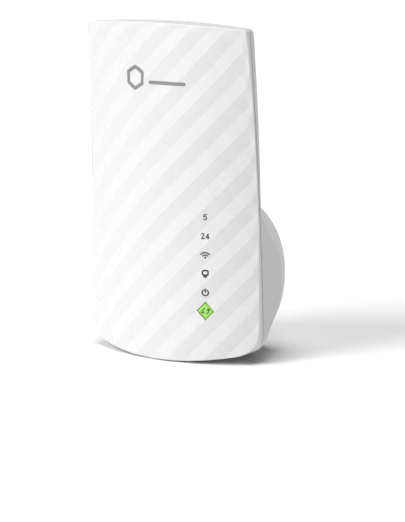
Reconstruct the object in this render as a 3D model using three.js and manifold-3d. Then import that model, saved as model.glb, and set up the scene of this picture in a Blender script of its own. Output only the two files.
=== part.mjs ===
// Plug-in wifi range extender, modelled as an assembly of separate pieces.
// Millimetres, +Z up. The front faces -Y and the blades point to +Y.
// Origin: centre of the plug boss's flat rear face, midway between the two blades.

import * as THREE from 'three';
import { LoftGeometry } from 'three/addons/geometries/LoftGeometry.js';
import { mergeVertices } from 'three/addons/utils/BufferGeometryUtils.js';
import Module from 'manifold-3d';

const wasm = await Module();
wasm.setup();

// ---------------------------------------------------------------- driving dimensions

// Housing outline, seen from the front
const TOP = 84;
const BOTTOM = -26;
const HALF_WIDTH = 32.9;
const TOP_TAPER = 2.4;            // each side is this much narrower at the top
const TOP_ARCH = 1.4;             // the top edge bows up by this much
const BOTTOM_ARCH = 3.8;          // the bottom edge bows down by this much
const TOP_CORNER = 1.8;
const BOTTOM_CORNER = 7;

// Steps along each curve of the outline: bottom, corner, side, corner, top, corner, side, corner
const OUTLINE_STEPS = [10, 5, 16, 3, 10, 3, 16, 5];

// Housing depth, front to back
const FACE_MIDDLE_Y = -37.7;      // foremost line of the crowned face
const FACE_MIDDLE_BOW = 0.8;
const FACE_EDGE_Y = -26.4;        // where the face ends at its sides, lower part
const FACE_EDGE_SWEEP = 5.4;      // the face's sides come forward by this much at the top
const CROWN_POWER = 2.1;
const PARTING_Y = -23.7;          // joint between the two covers, at the bottom
const PARTING_SWEEP = 5.6;        // the joint comes forward by this much at the top
const PARTING_POWER = 1.35;
const THIN_BACK_Y = -24.9;        // back cover's rear face above the plug boss
const THIN_BACK_SWEEP = 2.1;

// Plug boss
const BOSS_HALF_WIDTH = 25.9;
const BOSS_HALF_HEIGHT = 24.6;
const BOSS_POWER = 2.2;           // 2 is an ellipse, more is squarer
const BOSS_FLANK = 1.57;          // the flank ends at this many boss radii
const FLANK_POWER = 0.86;         // under 1, the flank falls away sooner from the rim

// Blank rating label, in a shallow recess low on the boss's flat face
const LABEL_RECESS = 0.4;
const LABEL_HALF_WIDTH = 15;
const LABEL_SPAN = [-21, -9];

// Walls and gaps
const FRONT_WALL = 1.6;
const BACK_WALL = 1.5;
const BOSS_WALL = 2.2;
const EDGE_ROUND = 0.45;
const SEAM = 0.4;                 // gap between the covers
const TONGUE_INSET = 1.95;        // the back cover's tongue sits inside the front cover's rim
const TONGUE_THICK = 1.1;
const TONGUE_HEIGHT = 1.6;
const CLEAR = 0.1;                // gap between a board and what is soldered to it

// Plug blades: the standard two-blade pattern
const BLADE_SPACING = 12.7;
const BLADE_WIDTH = 6.35;
const BLADE_THICK = 1.52;
const BLADE_LENGTH = 17.5;        // beyond the plug face
const BLADE_ROOT_Y = -5.6;
const BLADE_HOLE_RADIUS = 1.6;
const BLADE_HOLE_Y = 11.9;

// Main board, upright behind the face
const BOARD_HALF_WIDTH = 25;
const BOARD_FRONT_Y = -29.4;
const BOARD_BACK_Y = -28.2;
const BOARD_TOP = 56;
const BOARD_BOTTOM = -19.5;

// Power board, flat behind the plug face
const POWER_FRONT_Y = -8.0;
const POWER_BACK_Y = -6.4;

// Status lamps and sync button, one column
const COLUMN_X = 17.3;
const BUTTON_Z = -8.5;
const LAMP_PITCH = 6.16;
const LAMP_NAMES = ['power', 'wired', 'signal', 'band_low', 'band_high'];
const BUTTON_HALF_DIAGONAL = 2.85;
const BUTTON_GAP = 0.3;
const BUTTON_SUNK = 0.12;
const BUTTON_FOOT_Y = -32.0;
const PRESS_SLACK = 0.35;         // gap between the button's foot and the switch's plunger

// Network jack, opening on the -X side
const JACK_Z = 2;
const JACK_MOUTH_X = -26.8;
const JACK_BACK_X = -10;
const JACK_FRONT_Y = -28.1;
const JACK_BACK_Y = -13.6;
const JACK_HALF_HEIGHT = 8;
const PORT_FRONT_Y = -22.9;
const PORT_BACK_Y = -16.1;
const PORT_HALF_HEIGHT = 5.9;
const LATCH_DEPTH = 1.5;          // the channel for the plug's latch, behind the cavity
const COLLAR_LIP = 0.7;           // the jack's raised mouth is this much taller than its cavity
const CONTACT_PITCH = 1.02;

// Reset switch, behind a pin hole on the -X side
const RESET_Z = -13;
const RESET_Y = -22.4;
const PIN_HOLE_RADIUS = 0.9;

// ---------------------------------------------------------------- materials

const material = (color, roughness, metalness = 0) =>
  new THREE.MeshStandardMaterial({ color, roughness, metalness });

const MATERIALS = {
  shellWhite: material(0xf2f2f2, 0.3),
  backWhite: material(0xe9e9ea, 0.4),
  buttonGreen: material(0x9bdc6c, 0.35),
  blade: material(0xc9b98a, 0.3, 1),
  steel: material(0xb9bcc0, 0.35, 1),
  aluminium: material(0xa8abb0, 0.4, 1),
  gold: material(0xd9b25a, 0.3, 1),
  board: material(0x1d5a38, 0.5),
  blackPlastic: material(0x202122, 0.55),
  naturalPlastic: material(0xe4e0d2, 0.5),
  clearPlastic: material(0xe8eef0, 0.15),
  chip: material(0x2a2b2d, 0.5),
  lamp: material(0xf5f2d8, 0.3),
  pad: material(0x8f9aa8, 0.8),
  ferrite: material(0x3c3d40, 0.6),
  tape: material(0xd9b53a, 0.5),
  capacitorSleeve: material(0x22304a, 0.4),
  ceramicBlue: material(0x2f6fb0, 0.5),
  glassFuse: material(0x9c8f7a, 0.4),
  film: material(0xd8d2b8, 0.5),
  label: material(0xf7f7f5, 0.6),
  redWire: material(0xb52a22, 0.5),
  blackWire: material(0x1c1c1d, 0.5),
};

// ---------------------------------------------------------------- helpers

const part = new THREE.Group();
part.name = 'wifi_range_extender';

function addPiece(name, geometry, look) {
  const mesh = new THREE.Mesh(geometry, look);
  mesh.name = name;
  part.add(mesh);
  return mesh;
}

// A closed three.js geometry as a solid that can be joined and cut.
// Triangles that shrink to a line where a ring closes to a point are left out.
function solid(geometry) {
  const bare = new THREE.BufferGeometry();
  bare.setAttribute('position', geometry.attributes.position);
  bare.setIndex(geometry.index);
  const merged = mergeVertices(bare, 1e-4);
  const corners = merged.index.array;
  const kept = [];
  for (let i = 0; i < corners.length; i += 3) {
    const [a, b, c] = [corners[i], corners[i + 1], corners[i + 2]];
    if (a !== b && b !== c && c !== a) {
      kept.push(a, b, c);
    }
  }
  const vertProperties = new Float32Array(merged.attributes.position.array);
  const triVerts = new Uint32Array(kept);
  return new wasm.Manifold(new wasm.Mesh({ numProp: 3, vertProperties, triVerts }));
}

function geometryOf(manifold) {
  const mesh = manifold.getMesh();
  const geometry = new THREE.BufferGeometry();
  geometry.setAttribute('position', new THREE.BufferAttribute(mesh.vertProperties, 3));
  geometry.setIndex(new THREE.BufferAttribute(mesh.triVerts, 1));
  geometry.computeVertexNormals();
  return geometry;
}

function cut(geometry, ...tools) {
  let result = solid(geometry);
  for (const tool of tools) {
    result = result.subtract(solid(tool));
  }
  return geometryOf(result);
}

function join(...geometries) {
  let result = solid(geometries[0]);
  for (const geometry of geometries.slice(1)) {
    result = result.add(solid(geometry));
  }
  return geometryOf(result);
}

// A box between two limits on each axis
function box(xLimits, yLimits, zLimits) {
  const spans = [xLimits, yLimits, zLimits];
  const sizes = spans.map(([low, high]) => high - low);
  const middles = spans.map(([low, high]) => (low + high) / 2);
  return new THREE.BoxGeometry(...sizes).translate(...middles);
}

// The same box given by its middle on X and Z, and its limits on Y
function blockOnBoard(x, z, width, height, yLimits) {
  return box([x - width / 2, x + width / 2], yLimits, [z - height / 2, z + height / 2]);
}

// A round bar along one axis ('x', 'y' or 'z') between two limits on it
function bar(axis, radius, [low, high], [first, second], sides = 20) {
  const geometry = new THREE.CylinderGeometry(radius, radius, high - low, sides);
  const middle = (low + high) / 2;
  if (axis === 'x') {
    return geometry.rotateZ(Math.PI / 2).translate(middle, first, second);
  }
  if (axis === 'z') {
    return geometry.rotateX(Math.PI / 2).translate(first, second, middle);
  }
  return geometry.translate(first, middle, second);
}

// An outline drawn in X and Z, given thickness along Y
function plate(shape, [low, high]) {
  const settings = { depth: high - low, bevelEnabled: false, curveSegments: 8 };
  return new THREE.ExtrudeGeometry(shape, settings).rotateX(Math.PI / 2).translate(0, high, 0);
}

function polygon(points) {
  return new THREE.Shape(points.map(([x, z]) => new THREE.Vector2(x, z)));
}

function diamond(x, z, halfDiagonal) {
  return polygon([
    [x - halfDiagonal, z],
    [x, z - halfDiagonal],
    [x + halfDiagonal, z],
    [x, z + halfDiagonal],
  ]);
}

// A lead of round section along a smooth curve through the points
function lead(points, radius, steps) {
  const path = new THREE.CatmullRomCurve3(points.map((point) => new THREE.Vector3(...point)));
  const section = new THREE.Shape().absarc(0, 0, radius, 0, 2 * Math.PI);
  const settings = { extrudePath: path, steps, bevelEnabled: false, curveSegments: 4 };
  return new THREE.ExtrudeGeometry(section, settings);
}

// ---------------------------------------------------------------- housing surfaces

const heightFraction = (z) => (z - BOTTOM) / (TOP - BOTTOM);

const halfWidth = (z) => HALF_WIDTH - TOP_TAPER * heightFraction(z) ** 2;

const partingY = (z) =>
  PARTING_Y - PARTING_SWEEP * Math.max(0, heightFraction(z)) ** PARTING_POWER;

function faceMiddleY(z) {
  const middleZ = 25;
  return FACE_MIDDLE_Y + FACE_MIDDLE_BOW * ((z - middleZ) / (TOP - middleZ)) ** 2;
}

function faceEdgeY(z) {
  const straightBelow = 10;
  const rise = Math.max(0, (z - straightBelow) / (TOP - straightBelow));
  return FACE_EDGE_Y - FACE_EDGE_SWEEP * rise ** 2;
}

// Outer surface of the front cover: crowned across, nearly straight up and down
function faceY(x, z) {
  const across = Math.min(1, Math.abs(x) / halfWidth(z));
  const crown = 1 - across ** CROWN_POWER;
  return faceEdgeY(z) + (faceMiddleY(z) - faceEdgeY(z)) * crown;
}

function thinBackY(z) {
  const straightBelow = 20;
  const rise = Math.max(0, (z - straightBelow) / (TOP - straightBelow));
  return THIN_BACK_Y - THIN_BACK_SWEEP * rise ** 2;
}

// Outer surface of the back cover: a thin back that swells into the plug boss.
// inset shrinks the boss, for the inside of the wall.
function backY(x, z, inset = 0) {
  const acrossX = Math.abs(x) / (BOSS_HALF_WIDTH - inset);
  const acrossZ = Math.abs(z) / (BOSS_HALF_HEIGHT - inset);
  const radius = (acrossX ** BOSS_POWER + acrossZ ** BOSS_POWER) ** (1 / BOSS_POWER);
  const down = THREE.MathUtils.clamp((radius - 1) / (BOSS_FLANK - 1), 0, 1);
  const swell = 0.5 + 0.5 * Math.cos(Math.PI * down ** FLANK_POWER);
  return thinBackY(z) * (1 - swell);
}

// The housing's outline, moved in by inset, as a ring of points
function outline(inset) {
  const top = TOP - inset;
  const bottom = BOTTOM + inset;
  const topCorner = TOP_CORNER;
  const bottomCorner = Math.max(BOTTOM_CORNER - inset, 1);
  const topHalf = halfWidth(top) - inset;
  const bottomHalf = halfWidth(bottom) - inset;
  const archEnd = (arch, half, corner) => arch * ((half - corner) / half) ** 2;
  const archCorner = (arch, half, corner) => arch * (1 - (corner / half) ** 2);
  const topEndZ = top - archEnd(TOP_ARCH, topHalf, topCorner);
  const topCornerZ = top - archCorner(TOP_ARCH, topHalf, topCorner);
  const bottomEndZ = bottom + archEnd(BOTTOM_ARCH, bottomHalf, bottomCorner);
  const bottomCornerZ = bottom + archCorner(BOTTOM_ARCH, bottomHalf, bottomCorner);
  const sideTopZ = topCornerZ - topCorner;
  const sideBottomZ = bottomCornerZ + bottomCorner;
  const sideMiddleZ = (sideTopZ + sideBottomZ) / 2;
  const sideTopX = halfWidth(sideTopZ) - inset;
  const sideBottomX = halfWidth(sideBottomZ) - inset;
  const sideControlX = 2 * (halfWidth(sideMiddleZ) - inset) - (sideTopX + sideBottomX) / 2;

  const shape = new THREE.Shape();
  shape.moveTo(-(bottomHalf - bottomCorner), bottomEndZ);
  shape.quadraticCurveTo(0, 2 * bottom - bottomEndZ, bottomHalf - bottomCorner, bottomEndZ);
  shape.quadraticCurveTo(bottomHalf, bottomCornerZ, sideBottomX, sideBottomZ);
  shape.quadraticCurveTo(sideControlX, sideMiddleZ, sideTopX, sideTopZ);
  shape.quadraticCurveTo(topHalf, topCornerZ, topHalf - topCorner, topEndZ);
  shape.quadraticCurveTo(0, 2 * top - topEndZ, -(topHalf - topCorner), topEndZ);
  shape.quadraticCurveTo(-topHalf, topCornerZ, -sideTopX, sideTopZ);
  shape.quadraticCurveTo(-sideControlX, sideMiddleZ, -sideBottomX, sideBottomZ);
  shape.quadraticCurveTo(-bottomHalf, bottomCornerZ, -(bottomHalf - bottomCorner), bottomEndZ);
  return shape.curves.flatMap((curve, i) => curve.getPoints(OUTLINE_STEPS[i]).slice(0, -1));
}

// The plug boss's rim, one point in the direction of each point of an outline
function bossRim(points, inset) {
  return points.map((point) => {
    const angle = Math.atan2(point.y, point.x);
    const alongX = Math.abs(Math.cos(angle)) / (BOSS_HALF_WIDTH - inset);
    const alongZ = Math.abs(Math.sin(angle)) / (BOSS_HALF_HEIGHT - inset);
    const radius = (alongX ** BOSS_POWER + alongZ ** BOSS_POWER) ** (-1 / BOSS_POWER);
    return new THREE.Vector2(radius * Math.cos(angle), radius * Math.sin(angle));
  });
}

// Where the boss's flank runs out, or the housing's outline where that comes first
function flankFoot(rim, points) {
  return rim.map((point, i) =>
    point.clone().multiplyScalar(Math.min(BOSS_FLANK, points[i].length() / point.length())));
}

const between = (from, to, share) => from.map((point, i) => point.clone().lerp(to[i], share));

const raise = (points, heightAt) =>
  points.map((point) => new THREE.Vector3(point.x, heightAt(point.x, point.y), point.y));

const HOUSING_MIDDLE = new THREE.Vector2(0, (TOP + BOTTOM) / 2);

const shrunk = (points, share) =>
  points.map((point) => HOUSING_MIDDLE.clone().lerp(point, share));

// ---------------------------------------------------------------- covers

// The front cover as one skin: out over the face, round the rim, back along the inside
function frontCoverShell() {
  const outside = outline(0);
  const faceRim = outline(EDGE_ROUND);
  const inside = outline(FRONT_WALL);
  const shares = [0, 0.1, 0.25, 0.4, 0.55, 0.7, 0.82, 0.92, 1];
  const rimY = (x, z) => partingY(z) - SEAM / 2;
  const insideY = (x, z) => faceY(x, z) + FRONT_WALL;
  const edgeY = (x, z) => Math.min(faceY(x, z) + EDGE_ROUND, rimY(x, z) - CLEAR);
  const sections = shares.map((share) => raise(shrunk(faceRim, share), faceY));
  sections.push(raise(outline(EDGE_ROUND * 0.3), (x, z) => faceY(x, z) + EDGE_ROUND * 0.3));
  sections.push(raise(outside, edgeY));
  sections.push(raise(outside, rimY));
  sections.push(raise(inside, rimY));
  for (const share of [...shares].reverse()) {
    sections.push(raise(shrunk(inside, share), (x, z) => Math.min(insideY(x, z), rimY(x, z) - CLEAR)));
  }
  sections.reverse();
  return new LoftGeometry(sections);
}

// The back cover as one skin: over the thin back and the boss, round the tongue, back inside
function backCoverShell() {
  const outside = outline(0);
  const seamY = (x, z) => partingY(z) + SEAM / 2;
  const tongueOutside = outline(TONGUE_INSET);
  const tongueInside = outline(TONGUE_INSET + TONGUE_THICK);
  const tongueY = (x, z) =>
    Math.max(partingY(z) - TONGUE_HEIGHT, faceY(x, z) + FRONT_WALL + SEAM);
  const outsideRim = bossRim(outside, 0);
  const outsideFoot = flankFoot(outsideRim, outside);
  const insideRim = bossRim(tongueInside, BOSS_WALL);
  const insideFoot = flankFoot(insideRim, tongueInside);
  const outerY = (x, z) => Math.max(backY(x, z), seamY(x, z) + CLEAR);
  const innerY = (x, z) => backY(x, z, BOSS_WALL) - (z > BOSS_HALF_HEIGHT ? BACK_WALL : BOSS_WALL);
  const faceShares = [0, 0.15, 0.5, 0.8];
  const flankShares = [0, 0.1, 0.22, 0.35, 0.5, 0.65, 0.78, 0.9];
  const backShares = [0, 0.35, 0.7, 0.95];

  const sections = faceShares.map((share) =>
    raise(outsideRim.map((point) => point.clone().multiplyScalar(share)), () => 0));
  for (const share of flankShares) {
    sections.push(raise(between(outsideRim, outsideFoot, share), outerY));
  }
  for (const share of backShares) {
    sections.push(raise(between(outsideFoot, outside, share), outerY));
  }
  sections.push(raise(outside, outerY));
  sections.push(raise(outside, seamY));
  sections.push(raise(tongueOutside, seamY));
  sections.push(raise(tongueOutside, tongueY));
  sections.push(raise(tongueInside, tongueY));
  for (const share of [...backShares].reverse()) {
    sections.push(raise(between(insideFoot, tongueInside, share), innerY));
  }
  for (const share of [...flankShares].reverse()) {
    sections.push(raise(between(insideRim, insideFoot, share), innerY));
  }
  for (const share of [...faceShares].reverse()) {
    sections.push(raise(insideRim.map((point) => point.clone().multiplyScalar(share)), () => -BOSS_WALL));
  }
  return new LoftGeometry(sections);
}

const BOARD_SCREWS = [[-21, 28], [23, 30], [20.5, -15]];
const POWER_SCREWS = [[-18, -4], [2, 18]];
const SCREW_RADIUS = 0.8;
const SCREW_SLACK = 0.3;          // a board's hole is this much wider than its screw, all round
const POST_RADIUS = 2;

function makeFrontCover() {
  const holeHalf = BUTTON_HALF_DIAGONAL + BUTTON_GAP;
  const holeLimits = [FACE_MIDDLE_Y - 1, BUTTON_FOOT_Y + 1];
  const buttonHole = plate(diamond(COLUMN_X, BUTTON_Z, holeHalf), holeLimits);
  const posts = BOARD_SCREWS.map(([x, z]) => {
    const reach = [faceY(Math.abs(x) + POST_RADIUS, z) + FRONT_WALL / 2, BOARD_FRONT_Y - CLEAR];
    return bar('y', POST_RADIUS, reach, [x, z], 16);
  });
  const pilotHoles = BOARD_SCREWS.map(([x, z]) => {
    const reach = [faceY(x, z) + FRONT_WALL, BOARD_FRONT_Y];
    return bar('y', SCREW_RADIUS + CLEAR, reach, [x, z], 12);
  });
  const shell = join(frontCoverShell(), ...posts);
  addPiece('front_cover', cut(shell, buttonHole, ...pilotHoles), MATERIALS.shellWhite);
}

// Rows of slots through the bottom wall and through the thin back near the top
function ventSlots() {
  const slots = [];
  const slotsEachSide = 5;
  const slotPitch = 3.6;
  const slotWidth = 1.3;
  for (let i = -slotsEachSide; i <= slotsEachSide; i++) {
    const x = i * slotPitch;
    slots.push(box([x - slotWidth / 2, x + slotWidth / 2], [-21, -9], [BOTTOM - 2, BOTTOM + 5]));
    slots.push(box([x - slotWidth / 2, x + slotWidth / 2], [-32, -20], [62, 74]));
  }
  return slots;
}

function makeBackCover() {
  const slack = 0.3;
  const bladeSlots = [-1, 1].map((side) =>
    blockOnBoard(side * BLADE_SPACING / 2, 0, BLADE_THICK + 2 * slack, BLADE_WIDTH + 2 * slack, [-5, 2]));
  const portLimits = [PORT_FRONT_Y - slack, PORT_BACK_Y + LATCH_DEPTH + slack];
  const portReach = [-HALF_WIDTH - 2, JACK_MOUTH_X + 1];
  const portHalf = PORT_HALF_HEIGHT + COLLAR_LIP + CLEAR;
  const port = box(portReach, portLimits, [JACK_Z - portHalf, JACK_Z + portHalf]);
  const pinHole = bar('x', PIN_HOLE_RADIUS, [-HALF_WIDTH - 2, -26.5], [RESET_Y, RESET_Z], 16);
  const labelRecess = box([-LABEL_HALF_WIDTH, LABEL_HALF_WIDTH], [-LABEL_RECESS, 1], LABEL_SPAN);
  const posts = POWER_SCREWS.map(([x, z]) =>
    bar('y', POST_RADIUS, [POWER_BACK_Y + CLEAR, -BOSS_WALL / 2], [x, z], 16));
  const pilotHoles = POWER_SCREWS.map(([x, z]) =>
    bar('y', SCREW_RADIUS + CLEAR, [POWER_BACK_Y - 1, -BOSS_WALL], [x, z], 12));
  const shell = join(backCoverShell(), ...posts);
  const cuts = [...bladeSlots, port, pinHole, labelRecess, ...pilotHoles, ...ventSlots()];
  addPiece('back_cover', cut(shell, ...cuts), MATERIALS.backWhite);
}

function makeRatingLabel() {
  const margin = 0.4;
  const half = LABEL_HALF_WIDTH - margin;
  const span = [LABEL_SPAN[0] + margin, LABEL_SPAN[1] - margin];
  const label = box([-half, half], [-LABEL_RECESS + CLEAR, -LABEL_RECESS + 2 * CLEAR], span);
  addPiece('rating_label', label, MATERIALS.label);
}

// ---------------------------------------------------------------- plug blades

function makeBlade(name, side) {
  const x = side * BLADE_SPACING / 2;
  const tipChamfer = 1.6;
  const halfWide = BLADE_WIDTH / 2;
  const profile = new THREE.Shape();
  profile.moveTo(-halfWide, BLADE_ROOT_Y);
  profile.lineTo(halfWide, BLADE_ROOT_Y);
  profile.lineTo(halfWide, BLADE_LENGTH - tipChamfer);
  profile.quadraticCurveTo(halfWide, BLADE_LENGTH, halfWide - tipChamfer, BLADE_LENGTH);
  profile.lineTo(-halfWide + tipChamfer, BLADE_LENGTH);
  profile.quadraticCurveTo(-halfWide, BLADE_LENGTH, -halfWide, BLADE_LENGTH - tipChamfer);
  profile.closePath();
  const hole = new THREE.Path().absarc(0, BLADE_HOLE_Y, BLADE_HOLE_RADIUS, 0, 2 * Math.PI, true);
  profile.holes.push(hole);
  const settings = { depth: BLADE_THICK, bevelEnabled: false, curveSegments: 10 };
  const geometry = new THREE.ExtrudeGeometry(profile, settings);
  geometry.translate(0, 0, -BLADE_THICK / 2).rotateY(Math.PI / 2).translate(x, 0, 0);
  addPiece(name, geometry, MATERIALS.blade);
}

function makeBladeCarrier() {
  const slack = 0.1;
  const sockets = [-1, 1].map((side) =>
    blockOnBoard(side * BLADE_SPACING / 2, 0, BLADE_THICK + 2 * slack, BLADE_WIDTH + 2 * slack, [-5.8, 0]));
  const block = box([-12, 12], [-6.2, -BOSS_WALL - CLEAR], [-6.5, 6.5]);
  addPiece('blade_carrier', cut(block, ...sockets), MATERIALS.blackPlastic);
}

// ---------------------------------------------------------------- button and switches

// A diamond cap whose face follows the cover, on a stem that rests over the switch
function makeSyncButton() {
  const flatTop = BUTTON_FOOT_Y - 2;
  const cap = plate(diamond(COLUMN_X, BUTTON_Z, BUTTON_HALF_DIAGONAL), [flatTop, BUTTON_FOOT_Y]);
  const position = cap.attributes.position;
  for (let i = 0; i < position.count; i++) {
    const onFace = position.getY(i) < (flatTop + BUTTON_FOOT_Y) / 2;
    if (onFace) {
      position.setY(i, faceY(position.getX(i), position.getZ(i)) + BUTTON_SUNK);
    }
  }
  const barHalfWidth = 1.1;
  const barReach = 3.7;
  const barThick = 0.4;
  const retainer = box(
    [COLUMN_X - barHalfWidth, COLUMN_X + barHalfWidth],
    [BUTTON_FOOT_Y - barThick, BUTTON_FOOT_Y],
    [BUTTON_Z - barReach, BUTTON_Z + barReach],
  );
  addPiece('sync_button', join(cap, retainer), MATERIALS.buttonGreen);
}

function makeSyncSwitch() {
  const bodyFront = -31;
  const recessDepth = 1;
  const width = 4.8;
  const plungerRadius = 1.1;
  const slack = 0.25;
  const plungerFoot = bodyFront + 0.65;
  const middle = [COLUMN_X, BUTTON_Z];
  const body = blockOnBoard(...middle, width, width, [bodyFront, BOARD_FRONT_Y - CLEAR]);
  const recess = bar('y', plungerRadius + slack, [bodyFront - 1, bodyFront + recessDepth], middle);
  addPiece('sync_switch_body', cut(body, recess), MATERIALS.blackPlastic);
  const plunger = bar('y', plungerRadius, [BUTTON_FOOT_Y + PRESS_SLACK, plungerFoot], middle);
  addPiece('sync_switch_plunger', plunger, MATERIALS.naturalPlastic);
}

function makeResetSwitch() {
  const mouth = -24.5;
  const depth = 3.5;
  const halfHeight = 3;
  const recessDepth = 1;
  const plungerRadius = 0.9;
  const slack = 0.25;
  const body = box([mouth, mouth + depth], [BOARD_BACK_Y + CLEAR, RESET_Y + 0.8],
    [RESET_Z - halfHeight, RESET_Z + halfHeight]);
  const recess = bar('x', plungerRadius + slack, [mouth - 1, mouth + recessDepth], [RESET_Y, RESET_Z]);
  addPiece('reset_switch_body', cut(body, recess), MATERIALS.blackPlastic);
  const plunger = bar('x', plungerRadius, [mouth - 1.3, mouth + 0.6], [RESET_Y, RESET_Z]);
  addPiece('reset_switch_plunger', plunger, MATERIALS.naturalPlastic);
}

// ---------------------------------------------------------------- lamps and light guide

const lampZ = (i) => BUTTON_Z + LAMP_PITCH * (i + 1);
const BLOCKER_LIMITS = [-31.5, -30.2];

function makeLamps() {
  LAMP_NAMES.forEach((name, i) => {
    const lamp = blockOnBoard(COLUMN_X, lampZ(i), 1.6, 0.9, [-30.1, BOARD_FRONT_Y - CLEAR]);
    addPiece(`lamp_${name}`, lamp, MATERIALS.lamp);
  });
  const syncLamp = blockOnBoard(COLUMN_X - 3.4, BUTTON_Z, 0.9, 1.6, [-30.1, BOARD_FRONT_Y - CLEAR]);
  addPiece('lamp_sync', syncLamp, MATERIALS.lamp);
}

function makeLightGuide() {
  const pipes = LAMP_NAMES.map((name, i) =>
    bar('y', 1.2, [-32.35, -30.8], [COLUMN_X, lampZ(i)], 12));
  const strip = box([COLUMN_X - 1.6, COLUMN_X + 1.6], [-32.05, -31.65], [lampZ(0) - 1.6, lampZ(4) + 1.6]);
  addPiece('light_guide', join(strip, ...pipes), MATERIALS.clearPlastic);
}

function makeLightBlocker() {
  const cells = LAMP_NAMES.map((name, i) =>
    blockOnBoard(COLUMN_X, lampZ(i), 3.2, 3.2, [-33, -29]));
  const frame = box([COLUMN_X - 2.4, COLUMN_X + 2.4], BLOCKER_LIMITS, [lampZ(0) - 2.3, lampZ(4) + 2.3]);
  addPiece('light_blocker', cut(frame, ...cells), MATERIALS.blackPlastic);
}

// ---------------------------------------------------------------- main board

function makeMainBoard() {
  const corner = 5;
  const sheet = polygon([
    [-BOARD_HALF_WIDTH + corner, BOARD_BOTTOM],
    [BOARD_HALF_WIDTH - corner, BOARD_BOTTOM],
    [BOARD_HALF_WIDTH, BOARD_BOTTOM + corner],
    [BOARD_HALF_WIDTH, BOARD_TOP],
    [-BOARD_HALF_WIDTH, BOARD_TOP],
    [-BOARD_HALF_WIDTH, BOARD_BOTTOM + corner],
  ]);
  const holes = BOARD_SCREWS.map(([x, z]) => bar('y', SCREW_RADIUS + SCREW_SLACK, [-31, -27], [x, z], 12));
  addPiece('main_board', cut(plate(sheet, [BOARD_FRONT_Y, BOARD_BACK_Y]), ...holes), MATERIALS.board);
}

function makeRadioSection() {
  const canFront = -31.6;
  const canWall = 0.3;
  const foot = BOARD_FRONT_Y - CLEAR;
  const can = box([-19, 9], [canFront, foot], [17, 45]);
  const hollow = box([-19 + canWall, 9 - canWall], [canFront + canWall, foot + 1], [17 + canWall, 45 - canWall]);
  addPiece('shield_can', cut(can, hollow), MATERIALS.steel);
  addPiece('processor', blockOnBoard(-5, 31, 12, 12, [-30.7, foot]), MATERIALS.chip);
  addPiece('thermal_pad', blockOnBoard(-5, 31, 14, 14, [-32.2, canFront - CLEAR]), MATERIALS.pad);
  addPiece('flash_chip', blockOnBoard(-8, 8, 6, 5, [-31, foot]), MATERIALS.chip);
}

function makeHeatSink() {
  const base = box([-13, 3], [-33.1, -32.3], [20, 42]);
  const fins = [];
  for (let i = 0; i < 5; i++) {
    const x = -12.5 + i * 3.75;
    fins.push(box([x - 0.5, x + 0.5], [-34.1, -32.7], [20, 42]));
  }
  addPiece('heat_sink', join(base, ...fins), MATERIALS.aluminium);
}

function makeScrew(name, [x, z], headY, direction, shankLength) {
  const headHeight = 1.1;
  const head = [headY, headY + direction * headHeight].sort((a, b) => a - b);
  const shank = [headY - direction * shankLength, headY + direction * 0.2].sort((a, b) => a - b);
  const screw = join(bar('y', 1.6, head, [x, z], 16), bar('y', SCREW_RADIUS - 0.1, shank, [x, z], 12));
  const slotLimits = [headY + direction * (headHeight - 0.5), headY + direction * (headHeight + 1)];
  slotLimits.sort((a, b) => a - b);
  const cross = [
    blockOnBoard(x, z, 1.8, 0.4, slotLimits),
    blockOnBoard(x, z, 0.4, 1.8, slotLimits),
  ];
  addPiece(name, cut(screw, ...cross), MATERIALS.steel);
}

function makeScrews() {
  BOARD_SCREWS.forEach((place, i) =>
    makeScrew(`board_screw_${i + 1}`, place, BOARD_BACK_Y + CLEAR, 1, 2.4));
  POWER_SCREWS.forEach((place, i) =>
    makeScrew(`power_screw_${i + 1}`, place, POWER_FRONT_Y - CLEAR, -1, 4));
}

// Two stamped antennas above the board, each with a thin coaxial lead
function makeAntennas() {
  const antennaLimits = [-31, -30.6];
  const low = polygon([[-24, 60], [-6, 60], [-6, 63], [-20, 63], [-20, 74], [-10, 74], [-10, 76], [-24, 76]]);
  const high = polygon([[8, 60], [22, 60], [22, 72], [18, 72], [18, 63], [8, 63]]);
  addPiece('antenna_low_band', plate(low, antennaLimits), MATERIALS.steel);
  addPiece('antenna_high_band', plate(high, antennaLimits), MATERIALS.steel);
  const radius = 0.55;
  const lowRoute = [[-12, -29.95, 61.5], [-11, -30.05, 57], [-14, -30.1, 52], [-15, -30.05, 47.5]];
  const highRoute = [[12, -29.95, 61.5], [12.6, -30.05, 56], [12.2, -30.1, 50], [12, -30.05, 46]];
  addPiece('antenna_lead_low', lead(lowRoute, radius, 12), MATERIALS.blackWire);
  addPiece('antenna_lead_high', lead(highRoute, radius, 12), MATERIALS.blackWire);
}

// ---------------------------------------------------------------- network jack

// A limit each side of the jack's middle
const aboutJack = (half) => [JACK_Z - half, JACK_Z + half];

// A block with a raised collar that reaches into the back cover's opening
function makeJack() {
  const collarStep = 0.5;
  const backWall = 2.5;
  const latchHalfHeight = 3.1;
  const block = box([JACK_MOUTH_X + collarStep, JACK_BACK_X], [JACK_FRONT_Y, JACK_BACK_Y],
    aboutJack(JACK_HALF_HEIGHT));
  const collar = box([JACK_MOUTH_X, JACK_MOUTH_X + 2 * collarStep],
    [PORT_FRONT_Y - 2 * CLEAR, PORT_BACK_Y + LATCH_DEPTH + 2 * CLEAR],
    aboutJack(PORT_HALF_HEIGHT + COLLAR_LIP));
  const mouth = [JACK_MOUTH_X - 1, JACK_BACK_X - backWall];
  const cavity = box(mouth, [PORT_FRONT_Y, PORT_BACK_Y], aboutJack(PORT_HALF_HEIGHT));
  const latch = box(mouth, [PORT_BACK_Y - 1, PORT_BACK_Y + LATCH_DEPTH], aboutJack(latchHalfHeight));
  addPiece('network_jack', cut(join(block, collar), cavity, latch), MATERIALS.naturalPlastic);
}

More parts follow.
